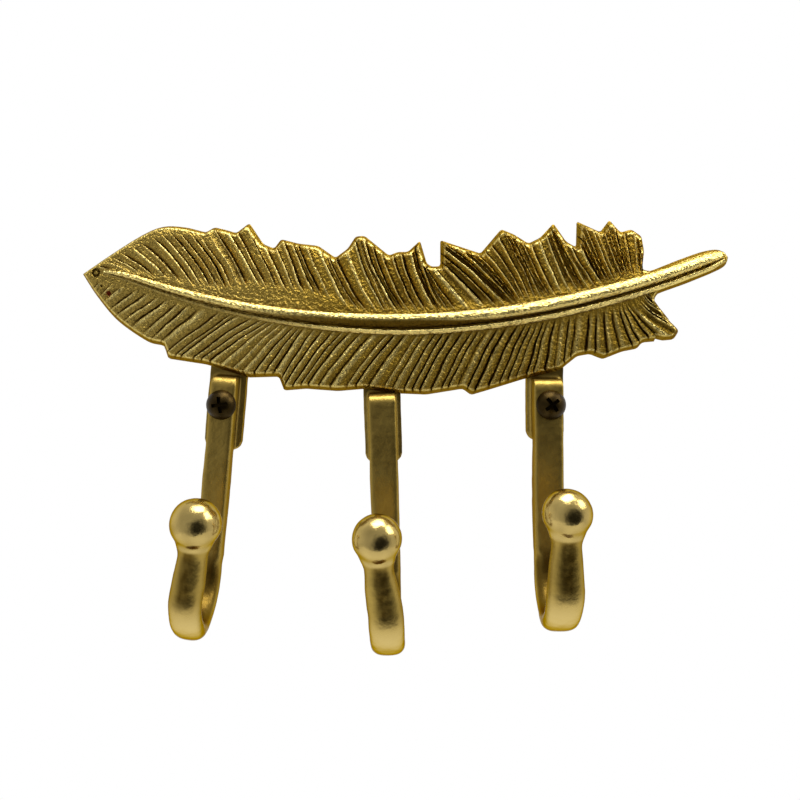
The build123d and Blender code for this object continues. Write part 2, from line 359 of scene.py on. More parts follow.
# Share of the length at the root, and the pitch of the barbs there
UPPER_PITCH = ((0.0, 3.6), (0.3, 3.8), (0.5, 2.9), (1.0, 2.4))
LOWER_PITCH = ((0.0, 3.5), (0.5, 3.1), (1.0, 2.8))
PITCH_DRAW = 0.24  # share of the pitch by which a groove is drawn off its place, to either side
DEPTH_DRAW = (0.85, 1.15)
VANE_SEED = 11
# What sets the vanes apart. Shares of the pitch are counted across a barb, as in its section.
UPPER = {
    "side": 1,
    "barb": UPPER_BARB,
    "pitch": UPPER_PITCH,
    "bow": UPPER_BOW,
    "depths": (0.35, 0.7, 1.0, 1.25),  # what the depth of a groove is drawn from
    "groove": 1.0,  # share of that depth
    "deepen": 1.1,  # what the depth gains towards the quill
    "bare": 4.5,  # how much farther from the rachis the grooves begin in the plain part of the vane
    "rim": (0.0, 0.22, 0.3),  # relief at the rim near the tip, and the roots where it grows and is full
    "bumps": 0.12,  # height of the bumps on the bed beside the rachis
    "crest": (0.68, 0.84, 0.92, 0.96),  # shares of the pitch where polish begins, is full, wanes and ends
    "tarnish_and_shade": (0.03, 0.2, 0.94, 0.985),  # shares of the pitch where tarnish and painted shade wane, end, begin and are full
    "hollow": 0.5,  # tarnish and painted shade down in the barbs, towards the quill
    "shade": 0.0,  # painted shade all over, towards the quill
}
LOWER = {
    "side": -1,
    "barb": LOWER_BARB,
    "pitch": LOWER_PITCH,
    "bow": LOWER_BOW,
    "depths": (0.5, 0.8, 1.0, 1.1),
    "groove": 0.7,
    "deepen": 0.5,
    "bare": 0.0,
    "rim": (0.45, 0.16, 0.26),
    "bumps": 0.28,
    "crest": (0.07, 0.18, 0.3, 0.46),
    "tarnish_and_shade": (0.02, 0.1, 0.84, 0.96),
    "hollow": 0.3,
    "shade": 0.24,
}
# Roots, as shares of the length, between which a change along the feather begins and is full
DEEPENING = (0.45, 0.65)
GROOVES_END = (0.866, 0.88)
# where tarnish and painted shade deepen down in the barbs
HOLLOW_DARKENING = (0.4, 0.6)
SHADING = (0.35, 0.6)
LOWER_DULLING = (0.4, 0.7)
TIP_WEAR_END = (0.2, 0.45)
# Roots where the bumpy bed beside the rachis begins, is full, wanes and ends, and the upper vane's plain part
BED_ROOTS = (0.08, 0.16, 0.32, 0.5)
BARE_ROOTS = (0.2, 0.3, 0.38, 0.45)
BED_EDGE = (3, 6.5)  # distances from the rachis between which the bed's bumps end
GROOVE_START = (2.8, 7.5)  # distances from the rachis between which the grooves begin
RIM_RELIEF = (0.78, 0.95)  # shares of the way to the rim between which the relief changes to the rim's
UPPER_KEEN = 1.6  # an upper crest is polished in full where its barb's depth times this is 1
LOWER_DULL = 0.6  # polish that the lower crests lose towards the quill
TIP_WEAR = 0.16  # polish all over near the tip
BARB_WAVER = 0.45  # how far a barb strays from its bow
DEPTH_WANDER = 0.3  # share of a groove's depth
STREAK = 0.11  # height of the streaks along the barbs
PIT_DEPTH = 0.5
PIT_SLOPE = 0.45  # width of a pit's slope
KNOB_SLOPE = 0.5  # and of the slope of what stands up inside it
# Casting pits near the tip: their middle, their radius, and the radius of what stands up again inside. The
# last is rusty.
PITS = ((-89.9, 40.9, 1.5, 0.9), (-88.3, 36.8, 0.6, 0.0), (-86.1, 34.6, 1.0, 0.0))
QUILL_END_ROW = 4  # row of the quill's outermost corner

upper_rows = [(on_feather(s, a * UPPER_VANE), r) for s, a, r in TIP_CURVE + UPPER_TEETH]
lower_rows = [(on_feather(s, -b * LOWER_VANE), r) for s, b, r in CHIN_CURVE + LOWER_TEETH]
quill_rows = [(on_feather(s, a * QUILL_HALF), r) for s, a, r in QUILL]
edge_rows = upper_rows + quill_rows + lower_rows[::-1]
outline = [point for point, _ in edge_rows]
roots = [root for _, root in edge_rows]
teeth_start = len(TIP_CURVE) - 1
teeth_end = len(upper_rows)
quill_end = teeth_end + QUILL_END_ROW
quill_last = teeth_end + len(QUILL) - 1
chin_start = len(outline) - len(CHIN_CURVE) - 1


def is_smooth(low, high):
    """Whether the edge runs in a curve between two neighbouring corners."""
    if 0 in (low, high) and max(low, high) == len(outline) - 1:
        return True
    return high <= teeth_start or teeth_end <= low < quill_last or low >= chin_start


def edge_point(loop, path, i, part):
    """Point of an edge loop between two corners of a path: on a curve, or on a line with rounded corners."""
    a, b = Vector(loop[path[i]]), Vector(loop[path[i + 1]])
    before = Vector(loop[path[i - 1]]) if i > 0 else 2 * a - b
    after = Vector(loop[path[i + 2]]) if i + 2 < len(path) else 2 * b - a
    if is_smooth(*sorted((path[i], path[i + 1]))):
        bend = (2 * before - 5 * a + 4 * b - after) * part**2 + (3 * a - before - 3 * b + after) * part**3
        return a + ((b - before) * part + bend) / 2
    run = (b - a).length
    place = run * part
    for corner, other, far, away in ((a, before, b, place), (b, after, a, run - place)):
        cut = min(CORNER_ROUND, CORNER_MOST * run, CORNER_MOST * (other - corner).length)
        if away < cut:
            turn = 0.5 + 0.5 * away / cut
            near_end = corner + (other - corner).normalized() * cut
            far_end = corner + (far - corner).normalized() * cut
            return (1 - turn) ** 2 * near_end + 2 * turn * (1 - turn) * corner + turn**2 * far_end
    return a + (b - a) * part


def lumps(x, z, rate, seed):
    """Smooth noise between -1 and 1 over the front, with about this many lumps to the millimetre."""
    return noise.noise(Vector((x * rate, seed, z * rate)))


def cast_grain(x, z):
    """Unevenness of the cast face: a fine one on a broad one."""
    return 0.07 * lumps(x, z, 0.9, 3.0) + 0.18 * lumps(x, z, 0.22, 9.0)


def pit(x, z, pit_x, pit_z, radius, inner):
    """How deep in a pit a place lies, from 0 at its lip to 1."""
    away = hypot(x - pit_x, z - pit_z)
    ring = 1 - ramp(radius - PIT_SLOPE, radius, away)
    return ring * ramp(inner - KNOB_SLOPE, inner, away) if inner else ring


def grooves(path, kind, draw):
    """Places along a path where one barb ends and the next begins, counted in corners of the path."""
    has_lobes = kind is LOWER
    places = []
    for i in range(len(path) - 1):
        if has_lobes and LOBES[0] <= i < LOBES[-1]:
            continue
        root = roots[path[i]], roots[path[i + 1]]
        tip_run = dist(outline[path[i]], outline[path[i + 1]])
        run = max(0.9 * tip_run, (tip_run + FEATHER_LENGTH * abs(root[1] - root[0])) / 2)
        pitch = between(kind["pitch"], (root[0] + root[1]) / 2)[1]
        count = max(1, round(run / pitch))
        places += [i + (k + 0.5 + draw.uniform(-PITCH_DRAW, PITCH_DRAW)) / count for k in range(count)]
    if has_lobes:
        places = sorted(places + list(LOBES))
    return [-places[0]] + places + [2 * (len(path) - 1) - places[-1]]


def barb_lines(path, places, sections):
    """Lines of a vane's grid: place along the path, number of the barb, and share of the barb's pitch."""
    end = len(path) - 1.0
    lines = []
    for n, (first, last) in enumerate(zip(places, places[1:])):
        lines += [(first + (last - first) * cycle, n, cycle) for cycle, _ in sections[n][:-1]]
    inside = [line for line in lines if 0 <= line[0] < end - 0.0001]
    return [(0.0, 0, 0.5)] + inside + [(end, len(places), 0.5)]


def barb_polish(kind, root, cycle, depth):
    """How far a barb is rubbed bright, and how far its groove is tarnished and darkened with painted shade, at
    a share of its pitch.
    """
    if kind is UPPER:
        keen = min(1, UPPER_KEEN * depth)
    else:
        keen = 1 - LOWER_DULL * ramp(*LOWER_DULLING, root)
    wane, end, begin, full = kind["tarnish_and_shade"]
    return keen * window(*kind["crest"], cycle), max(1 - ramp(wane, end, cycle), ramp(begin, full, cycle))


def vane(name, path, kind):
    """A vane as one grid, with lines from the rachis along the barbs to the rim and down the edge."""
    side = kind["side"]
    draw = random.Random(VANE_SEED + side)
    loops = [inset(outline, distance) for distance in [RIM_INSET] + [row[0] for row in WALL]]
    places = grooves(path, kind, draw)
    lobes = LOBES[:-1] if kind is LOWER else ()
    sections = [SPOON if place in lobes else kind["barb"] for place in places] + [kind["barb"]]
    depths = [draw.choice(kind["depths"]) * draw.uniform(*DEPTH_DRAW) for _ in sections]
    rows = []
    for place, n, cycle in barb_lines(path, places, sections):
        i = min(int(place), len(path) - 2)
        part = place - i
        root = roots[path[i]] + (roots[path[i + 1]] - roots[path[i]]) * part
        opening = min(1, (root - roots[0]) / SLIT_RUN, (roots[quill_end] - root) / SLIT_RUN)
        start = Vector(on_rachis(root, side * SLIT * sqrt(max(0, opening))))
        rim = edge_point(loops[0], path, i, part)
        spoon = sections[n] is SPOON
        notch = LOBE_NOTCH * (1 - ramp(0.0, NOTCH_WIDTH, min(cycle, 1 - cycle))) if spoon else 0.0
        pull = (rim - start) * notch
        rim -= pull
        run = rim - start
        across = Vector((run.y, -run.x))
        middle = (start + rim) / 2 + between(kind["bow"], root)[1] * across

        # Depth of the groove here, and what is polished, and what is tarnished and darkened with painted shade,
        # where the relief is full
        down = between(sections[n], cycle)[1]
        if spoon:
            depth = SPOON_DEPTH
            crest = 1 - ramp(0.0, 0.2, down)
            # A spoon's hollow is tarnished and darkened with painted shade
            tarnish_and_shade = down
        else:
            depth = depths[n] + (depths[max(n - 1, 0)] - depths[n]) * (1 - ramp(0.0, 0.5, cycle))
            depth *= (1 + kind["deepen"] * ramp(*DEEPENING, root)) * (1 - ramp(*GROOVES_END, root))
            crest, tarnish_and_shade = barb_polish(kind, root, cycle, depth)
            # Tarnish and painted shade deepen down in the barbs towards the quill
            tarnish_and_shade = max(tarnish_and_shade, kind["hollow"] * ramp(*HOLLOW_DARKENING, root) * down)
        groove = kind["groove"] * down * depth
        bare = kind["bare"] * window(*BARE_ROOTS, root)
        bed = window(*BED_ROOTS, root)
        least, low, high = kind["rim"]
        rim_relief = least + (1 - least) * ramp(low, high, root)
        tip_wear = TIP_WEAR * (1 - ramp(*TIP_WEAR_END, root))
        # Painted shade over the lower vane, growing towards the quill
        shade = kind["shade"] * ramp(*SHADING, root)

        row = []
        for j in range(COLUMNS + 1):
            t = j / COLUMNS
            away = t * run.length
            point = (1 - t) ** 2 * start + 2 * t * (1 - t) * middle + t**2 * rim
            stray = noise.noise(Vector(((n + cycle) * 0.45, t * 3.0, 3.0 + side)))
            x, z = point + BARB_WAVER * 4 * t * (1 - t) * stray * across.normalized()
            if spoon:
                fade = ramp(*SPOON_HOLLOW, t)
            else:
                fade = ramp(GROOVE_START[0] + bare, GROOVE_START[1] + bare, away)
                fade *= 1 - (1 - rim_relief) * ramp(*RIM_RELIEF, t)
            streak = STREAK * noise.noise(Vector((n * 3.7 + cycle * 4.5, t * 2.5, 7.0 + side)))
            bumps = kind["bumps"] * bed * (1 - ramp(*BED_EDGE, away)) * lumps(x, z, 0.75, 6.0)
            wander = 1 + DEPTH_WANDER * lumps(x, z, 0.12, 4.0 + side)
            pitted = max(pit(x, z, *spot) for spot in PITS)
            height = (streak - groove * wander) * fade + (cast_grain(x, z) + bumps) * ramp(0, 0.1, t)
            height -= PIT_DEPTH * pitted + EDGE_FALL * t**3 * min(1, run.length / EDGE_FALL_RUN)
            wear_and_highlight = max(fade * crest, tip_wear)
            dark = max(min(depth, 1) * fade * tarnish_and_shade, pitted, shade)
            row.append((x, -FEATHER_FRONT - height, z, wear_and_highlight, dark, pit(x, z, *PITS[-1])))
        rim_y = -FEATHER_FRONT - height
        for loop, (_, share) in zip(loops[1:], WALL):
            x, z = edge_point(loop, path, i, part) - pull
            y = rim_y - (rim_y + FEATHER_BACK) * share
            row.append((x, y, z, EDGE_WEAR - ramp(0.0, 0.3, share), dark * (1 - share), 0.0))
        rows.append(row)
    return painted_grid(name, rows, ("wear_and_highlight", "dark", "rust"))


RIB_STATIONS = 220
RIB_BASE = 0.9  # how deep the rib is sunk in the plate
RIB_FOOT = 0.05  # how far its sides spread down there
# Section of the rib from its upper side: share of its width, and of its height. Then its ledge's.
RIB_TOP = ((0.0, 0.0), (0.03, 0.17), (0.1, 0.4), (0.22, 0.65), (0.36, 0.85), (0.5, 0.96), (0.6, 1.0))
RIB_TOP += ((0.68, 0.99), (0.76, 0.92), (0.84, 0.76), (0.91, 0.52), (0.96, 0.27), (1.0, 0.02))
LEDGE_TOP = ((0.0, 0.0), (0.08, 0.6), (0.2, 0.92), (0.33, 1.0), (0.5, 0.88), (0.7, 0.62), (0.88, 0.32))
LEDGE_TOP += ((1.0, 0.0),)
LEDGE_HEIGHT = 0.5  # share of the rib's height
LEDGE_LEAST = 0.4  # what is left of that at the tip
LEDGE_RISE = (0.2, 0.45)  # shares of the length between which it rises
RIB_GROOVE = 0.3  # between the rib and its ledge
GROOVE_FLOOR = (0.12, -0.08)  # its lowest line: distance from the ledge, and height above the plate
# Facet below the crest: share of the length, and how far the crest moves up to make room for it
RIB_FACET = ((0.0, 0.2), (0.24, 0.45), (0.36, 1.0), (0.52, 1.0), (0.64, 0.45), (0.9, 0.2), (1.0, 0.1))
FACET_SHIFT = 0.9  # share of the width's curve that a full facet moves the crest by
FACET_EDGE = 0.38  # how far up its painted shade reaches
RIB_WEAR = 0.9


def rib(name):
    """The rachis: a ridge with a broad upper side, a narrow groove below it and a low rounded ledge."""
    rows = []
    for i in range(RIB_STATIONS + 1):
        share = RACHIS[0][0] + (RACHIS[-1][0] - RACHIS[0][0]) * i / RIB_STATIONS
        _, set_above, width_share, ledge_share, height_share = between(RACHIS, share)
        x, middle = on_rachis(share, 0)
        turn = asin((x - RACHIS_LOW_X) / RACHIS_RADIUS)
        width = RACHIS_WIDTH * width_share
        ledge = RACHIS_WIDTH * ledge_share
        height = RACHIS_HEIGHT * height_share
        upper_side = RACHIS_WIDTH * set_above + width / 2
        ledge_side = upper_side - width - RIB_GROOVE * min(1, height_share * 2)
        facet = between(RIB_FACET, share)[1]
        risen = LEDGE_LEAST + (1 - LEDGE_LEAST) * ramp(*LEDGE_RISE, share)
        wave = 1 + 0.06 * lumps(x, 0.0, 0.16, 1.0) + 0.05 * lumps(x, 0.0, 0.6, 5.0)

        # Section: distance above the rachis line, height, polish with a painted highlight on the ledge, and
        # painted shade on the rib's lower flank, in the groove below it and low on the ledge
        section = [(upper_side + RIB_FOOT, -RIB_BASE, 0.0, 0.0)]
        for across, up in RIB_TOP:
            off = upper_side - width * (across - FACET_SHIFT * facet * across * (1 - across))
            # Painted shade on the rib's lower flank, which also takes the polish away there
            flank_shade = risen * ramp(0.98 - FACET_EDGE * facet, 1.1 - FACET_EDGE * facet, across)
            section.append((off, height * wave * up, RIB_WEAR * ramp(0.2, 0.6, up) * (1 - flank_shade), flank_shade))
        # Painted shade in the groove between the rib and its ledge
        section.append((ledge_side + GROOVE_FLOOR[0], GROOVE_FLOOR[1], 0.0, risen))
        for across, up in LEDGE_TOP:
            off = ledge_side - ledge * across
            # Painted highlight along the top of the ledge, and painted shade below it
            ledge_highlight = risen * ramp(0.05, 0.35, up)
            section.append((off, LEDGE_HEIGHT * risen * height * up, ledge_highlight, 0.5 * (1 - ledge_highlight)))
        section.append((ledge_side - ledge - RIB_FOOT, -RIB_BASE, 0.0, 0.0))
        section.append(section[0])

        row = []
        for off, up, wear_and_highlight, dark in section:
            uneven = 0.09 * noise.noise(Vector((x * 0.8, off * 0.9, 2.0))) * height_share
            y = -FEATHER_FRONT - up - uneven
            row.append((x - off * sin(turn), y, middle + off * cos(turn), wear_and_highlight, dark))
        rows.append(row)
    return painted_grid(name, rows, ("wear_and_highlight", "dark"))


upper = vane("upper_vane", list(range(quill_end + 1)), UPPER)
lower = vane("lower_vane", [0] + list(range(len(outline) - 1, quill_end - 1, -1)), LOWER)
plate = join("vanes", [upper, lower])
close_up(plate)
rachis = rib("rachis")
close_up(rachis)
feather = join("feather_casting", [plate, rachis])
smooth(feather, 38)


# Hooks: a bar drawn down the shank, round the bend and up the arm, with its ball and its pad

HOOK_WIDTH = 8.6
HOOK_DROP = 68.5
HOOK_THICKNESS = 6.5
HOOK_CORNER = 1.3
SHANK_ROUND = 3.1  # at the top of the shank, in front
SHANK_START = 4.0  # how far above the middle of the bend the crisp corners begin
BAR_CORNER = 3.1  # round the bend and up the arm
BAR_OVERLAP = 12.0  # how far the bar runs up inside the shank
BEND_SWELL = 0.2  # the bar spreads by this share where it was bent
BEND_REACH = 0.2  # what the smoothing takes off the bend's outer side
BEND_RADIUS = 10.0
ARM_LENGTH = 22.1
ARM_FLARE = 9.0
NECK_WIDTH = 8.2
NECK_THICKNESS = 6.2
NECK_STOP = 1.2  # how far short of the ball the neck is slimmest
NECK_SET = 0.8  # share of the ball's sideways set that is reached there
COLLAR_LENGTH = 3.4  # from there into the ball
COLLAR_SET = 0.2
COLLAR_FLARE = 1.32
BALL_DIAMETER = 13.0
BALL_SKIN = 0.15  # how far the ball's core stays inside the solid's
PAD_WIDTH = 11.8
PAD_THICKNESS = 3.2
PAD_CORNER = 3.0
PAD_RISE = 54.5
TANG_LENGTH = 16.0
SCREW_SPACING = 101.0
SHANK_FRONT = PAD_THICKNESS + HOOK_THICKNESS
HOLE_RADIUS = 2.65
HOLE_LENGTH = 40.0
VOXEL = 0.45
LUMP_SIZE = 9.0
LUMP_HEIGHT = 0.4
LUMP_LEVEL = 0.72  # shade of the lumps that leaves the surface where it is
BALL_WEAR = 0.7
# Tarnish and painted shade down the sides of a hook
SIDE_TARNISH_AND_SHADE = 0.3
# Painted shade above the shoulder, under the feather
UNDER_FEATHER_SHADE = 0.4
# Name, share of the screw spacing, lean, shares of drop, width and ball, set of the ball, side of the screw
HOOKS = (
    ("left_hook", -0.500, 5.0, 1.00, 0.94, 1.13, 0.22, -1),
    ("middle_hook", -0.013, -1.7, 1.06, 1.02, 1.10, -0.21, 0),
    ("right_hook", 0.494, -0.3, 0.96, 1.06, 1.10, -0.02, 1),
)


def block(name, middle, size):
    """A block of the given size, round its middle."""
    deselect()
    bpy.ops.mesh.primitive_cube_add(size=1, location=Vector(middle) * MM)
    made = bpy.context.object
    made.name = name
    made.scale = Vector(size) * MM
    settle()
    return made


def round_edges(piece, test, radius):
    """Rounds the edges of a piece whose two ends, in millimetres, pass a test."""
    pick(piece)
    bpy.ops.object.mode_set(mode="EDIT")
    bpy.ops.mesh.select_mode(type="EDGE")
    bpy.ops.mesh.select_all(action="DESELECT")
    bpy.ops.object.mode_set(mode="OBJECT")
    for edge in piece.data.edges:
        edge.select = test(*[piece.data.vertices[i].co / MM for i in edge.vertices])
    bpy.ops.object.mode_set(mode="EDIT")
    bpy.ops.mesh.bevel(offset=radius * MM, segments=5, affect="EDGES")
    bpy.ops.mesh.select_mode(type="VERT")
    bpy.ops.object.mode_set(mode="OBJECT")


def draw_out(step):
    """Draws the selected end of a bar out by a step."""
    bpy.ops.mesh.extrude_region_move(TRANSFORM_OT_translate={"value": Vector(step) * MM})


def hook_casting(name, x_share, lean, drop_share, width_share, ball_share, set_share, screw_side):
    """One hook, modelled upright and then hung at its place and lean."""
    width = HOOK_WIDTH * width_share
    drop = HOOK_DROP * drop_share
    ball_radius = BALL_DIAMETER * ball_share / 2
    aside = Vector((HOOK_WIDTH * set_share, 0, 0))
    pad_low = PAD_RISE - drop
    pad_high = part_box(name)[1][2] / MM
    shoulder = pad_high - TANG_LENGTH
    bend_y = -(SHANK_FRONT + BEND_RADIUS)
    bend_z = BEND_RADIUS + HOOK_THICKNESS - drop
    shank_y = -(PAD_THICKNESS + HOOK_THICKNESS / 2)
    flare = radians(ARM_FLARE)
    up_arm = Vector((0, -sin(flare), cos(flare)))
    reach = BEND_RADIUS + HOOK_THICKNESS / 2
    foot = Vector((0, bend_y - reach * cos(flare), bend_z - reach * sin(flare)))
    ball = foot + up_arm * ARM_LENGTH + aside

    def top_in_front(a, b):
        """Whether an edge of the shank is the one at its top, in front."""
        return min(a.z, b.z) > shoulder - 0.1 and a.y + b.y < 2.2 * shank_y

    # Shank with crisp corners, rounded off at the top in front, and the pad behind it
    low = bend_z + SHANK_START
    shank = block("shank", (0, shank_y, (low + shoulder) / 2), (width, HOOK_THICKNESS, shoulder - low))
    round_edges(shank, top_in_front, SHANK_ROUND)
    round_edges(shank, lambda a, b: abs(a.z - b.z) > 9, HOOK_CORNER)
    pad_size = (PAD_WIDTH, PAD_THICKNESS, pad_high - pad_low)
    pad = block("pad", (0, -PAD_THICKNESS / 2, (pad_low + pad_high) / 2), pad_size)
    round_edges(pad, lambda a, b: abs(a.y - b.y) > 1, PAD_CORNER)

    # Bar with round corners, drawn down inside the shank, spun round the bend and drawn up to the neck
    deselect()
    bpy.ops.mesh.primitive_plane_add(size=1, location=(0, shank_y * MM, (bend_z + BAR_OVERLAP) * MM))
    bar = bpy.context.object
    bar.scale = (width * MM, HOOK_THICKNESS * MM, 1)
    settle()
    bpy.ops.object.mode_set(mode="EDIT")
    bpy.ops.mesh.select_all(action="SELECT")
    bpy.ops.mesh.bevel(offset=BAR_CORNER * MM, segments=6, affect="VERTICES")
    bpy.ops.mesh.select_all(action="SELECT")
    draw_out((0, 0, -BAR_OVERLAP))
    bpy.ops.mesh.spin(steps=24, angle=pi - flare, center=(0, bend_y * MM, bend_z * MM), axis=(1, 0, 0))
    neck = up_arm * (ARM_LENGTH - ball_radius - NECK_STOP) + aside * NECK_SET
    draw_out(neck)
    slimmer = (NECK_WIDTH / width, NECK_THICKNESS / HOOK_THICKNESS, 1)
    bpy.ops.transform.resize(value=slimmer, center_override=(foot + neck) * MM)
    collar = up_arm * COLLAR_LENGTH + aside * COLLAR_SET
    draw_out(collar)
    wider = (COLLAR_FLARE, COLLAR_FLARE, 1)
    bpy.ops.transform.resize(value=wider, center_override=(foot + neck + collar) * MM)
    bpy.ops.object.mode_set(mode="OBJECT")
    deselect()
    core = (ball_radius - BALL_SKIN) * MM
    bpy.ops.mesh.primitive_uv_sphere_add(segments=48, ring_count=24, radius=core, location=ball * MM)
    knob = bpy.context.object
    settle()

    # One casting: the forms are fused and eased, and the bend is rubbed rounder and left a little uneven
    hook = join(name + "_casting", [shank, pad, bar, knob])
    apply_modifier(hook, "REMESH", mode="VOXEL", voxel_size=VOXEL * MM)
    apply_modifier(hook, "SMOOTH", factor=0.5, iterations=5)
    rubbed = hook.vertex_groups.new(name="rubbed")
    for corner in hook.data.vertices:
        place = corner.co / MM
        bent = 1 - ramp(bend_z + 2, bend_z + 16, place.z)
        below_ball = 1 - ramp(-0.75 * ball_radius, -0.2 * ball_radius, (place - ball).dot(up_arm))
        arm = ramp(bend_y - 2, bend_y - 6, place.y) * below_ball
        rubbed.add([corner.index], max(bent, arm), "REPLACE")
        corner.co.x *= 1 + BEND_SWELL * bent * ramp(bend_y + 8, bend_y - 8, place.y)
        spoke = Vector((0, place.y - bend_y, min(place.z - bend_z, 0)))
        outer = ramp(BEND_RADIUS + 1, BEND_RADIUS + 5, spoke.length)
        corner.co += spoke.normalized() * (BEND_REACH * outer * ramp(0, -6, spoke.z)) * MM
    apply_modifier(hook, "SMOOTH", factor=0.5, iterations=40, vertex_group="rubbed")
    texture = bpy.data.textures.new(name + "_lumps", "CLOUDS")
    texture.noise_scale = LUMP_SIZE * MM
    uneven = {"strength": LUMP_HEIGHT * MM, "mid_level": LUMP_LEVEL, "texture_coords": "LOCAL"}
    apply_modifier(hook, "DISPLACE", texture=texture, **uneven)
    hang = Matrix.Translation((x_share * SCREW_SPACING * MM, 0, 0)) @ Matrix.Rotation(radians(lean), 4, "Y")
    hook.matrix_world = hang
    settle()
    if screw_side:
        deselect()
        bpy.ops.mesh.primitive_cylinder_add(
            vertices=40,
            radius=HOLE_RADIUS * MM,
            depth=HOLE_LENGTH * MM,
            location=(screw_side * SCREW_SPACING / 2 * MM, 0, 0),
            rotation=(pi / 2, 0, 0),
        )
        cut_out(hook, bpy.context.object)
    smooth(hook, 50)

    # Polished at the ball, and round the outside of the bend with a painted highlight as well. Tarnished, with
    # painted shade, inside the bend and down the sides; a painted dark reflection in a streak up the front of
    # the arm; tarnished in blotches on the ball; painted shade above the shoulder, under the feather.
    wear_and_highlight = []
    dark = []
    upright = hang.inverted()
    for corner in hook.data.vertices:
        place = upright @ corner.co / MM
        on_ball = 1 - ramp(ball_radius + 0.3, ball_radius + 1.2, (place - ball).length)
        from_bend = hypot(place.y - bend_y, place.z - bend_z)
        # Painted shade, with tarnish, inside the bend, where it is not polished either
        inside = 1 - ramp(BEND_RADIUS + 1, BEND_RADIUS + 3, from_bend)
        inside *= 1 - ramp(bend_z, bend_z + 9, place.z)
        # Polish round the outside of the bend, with a painted highlight there as well
        outside = (1 - ramp(bend_z - 12, bend_z, place.z)) * (1 - inside)
        wear_and_highlight.append(max(BALL_WEAR * on_ball, outside))
        # Tarnish and painted shade on faces that look sideways
        facing = abs((upright.to_3x3() @ corner.normal).x)
        beside = SIDE_TARNISH_AND_SHADE * ramp(0.6, 0.95, facing) * (1 - on_ball)
        # Painted dark reflection: a streak up the middle of the arm's front
        climb = (place - foot).dot(up_arm)
        off = place.x - aside.x * max(climb, 0) / ARM_LENGTH
        streak = (1 - ramp(0.9, 2.9, abs(off))) * ramp(-3, 2, climb) * (1 - on_ball)
        streak *= ramp(bend_y - 8, bend_y - 12, place.y)
        streak *= 0.85 + 0.4 * noise.noise(Vector((place.x * 0.9, 2.0, place.z * 0.35)))
        mottle = on_ball * (0.2 + 0.25 * noise.noise(place * 0.35))
        # Painted shade above the shoulder, where the feather is over it
        above = UNDER_FEATHER_SHADE * ramp(shoulder - 2, shoulder + 1, place.z)
        dark.append(max(inside, beside, streak, mottle, above))
    paint(hook, "wear_and_highlight", wear_and_highlight)
    paint(hook, "dark", dark)
    return hook


hooks = {row[0]: hook_casting(*row) for row in HOOKS}


# Wall screws: domed heads with a cross recess, plain shanks, and threads with a point

HEAD_DIAMETER = 9.2
HEAD_HEIGHT = 2.9
HEAD_EASE = 0.25  # by which the underside of the head is smaller
DOME_STEPS = 14
SCREW_LENGTH = 30.0
SCREW_POINT = 6.0
POINT_LEAST = 0.02  # share of the width that is left at the end of the point
SHANK_DIAMETER = 4.5
THREAD_ROOT = 3.1
THREAD_CREST = 4.5
THREAD_PITCH = 1.8
THREAD_STEPS = 9  # rings to each turn
THREAD_HALF = 0.3  # share of the pitch from a crest to its root
THREAD_KEEP = 1.4  # how much later than the point's width the thread fades
RUN_IN = 0.4  # from the plain shank to the thread
RECESS_SPAN = 5.0
RECESS_WIDTH = 1.1
RECESS_DEPTH = 1.9
SCREW_SIDES = 40
SCREWS = ((-1, 8), (1, 38))  # side, and turn of the cross


def wall_screw(side, turn):
    """One screw, turned from its profile, with a thread that winds round and a cross cut in its head."""
    x = side * SCREW_SPACING / 2
    dome = ((HEAD_DIAMETER / 2) ** 2 + HEAD_HEIGHT**2) / (2 * HEAD_HEIGHT)
    spread = asin(HEAD_DIAMETER / 2 / dome)
    profile = []
    for k in range(DOME_STEPS + 1):
        angle = spread * k / DOME_STEPS
        profile.append((dome * (1 - cos(angle)) - HEAD_HEIGHT, dome * sin(angle), 0.0))
    profile.append((0.0, HEAD_DIAMETER / 2 - HEAD_EASE, 0.0))
    profile.append((0.0, SHANK_DIAMETER / 2, 0.0))
    profile.append((SHANK_FRONT - RUN_IN, SHANK_DIAMETER / 2, 0.0))
    steps = round((SCREW_LENGTH - SHANK_FRONT) / THREAD_PITCH * THREAD_STEPS)
    for k in range(steps + 1):
        place = SHANK_FRONT + (SCREW_LENGTH - SHANK_FRONT) * k / steps
        left = max(POINT_LEAST, min(1, (SCREW_LENGTH - place) / SCREW_POINT))
        crest = (THREAD_CREST - THREAD_ROOT) / 2 * min(1, left * THREAD_KEEP)
        profile.append((place, THREAD_ROOT / 2 * left, crest))
    profile.append((SCREW_LENGTH, 0.0, 0.0))
    rows = []
    for place, radius, crest in profile:
        row = []
        for k in range(SCREW_SIDES + 1):
            angle = 2 * pi * (k % SCREW_SIDES) / SCREW_SIDES
            wind = (place / THREAD_PITCH - angle / (2 * pi)) % 1
            out = radius + crest * max(0, 1 - abs(wind - 0.5) / THREAD_HALF)
            row.append((x + out * sin(angle), place - SHANK_FRONT, out * cos(angle)))
        rows.append(row)
    screw = shaped_grid("wall_screw", rows)
    close_up(screw)
    for cut in (turn, turn + 90):
        deselect()
        bpy.ops.mesh.primitive_cube_add(size=1)
        cutter = bpy.context.object
        cutter.scale = (RECESS_SPAN * MM, RECESS_DEPTH * 2 * MM, RECESS_WIDTH * MM)
        cutter.location = (x * MM, -(SHANK_FRONT + HEAD_HEIGHT) * MM, 0)
        cutter.rotation_euler = (0, radians(-cut), 0)
        settle()
        cut_out(screw, cutter)
    return screw


screws = join("wall_screw_pair", [wall_screw(*row) for row in SCREWS])
smooth(screws, 40)


# Materials

CLOUD_SIZE = 14  # change of tone over the castings
TARNISH_AND_SHADE_COVER = 0.85  # how far full tarnish and painted shade hide the metal's colour
ROUGH_SPREAD = 0.08
WORN_GRAIN = 0.75  # share of the grain's height that is left where the metal is rubbed


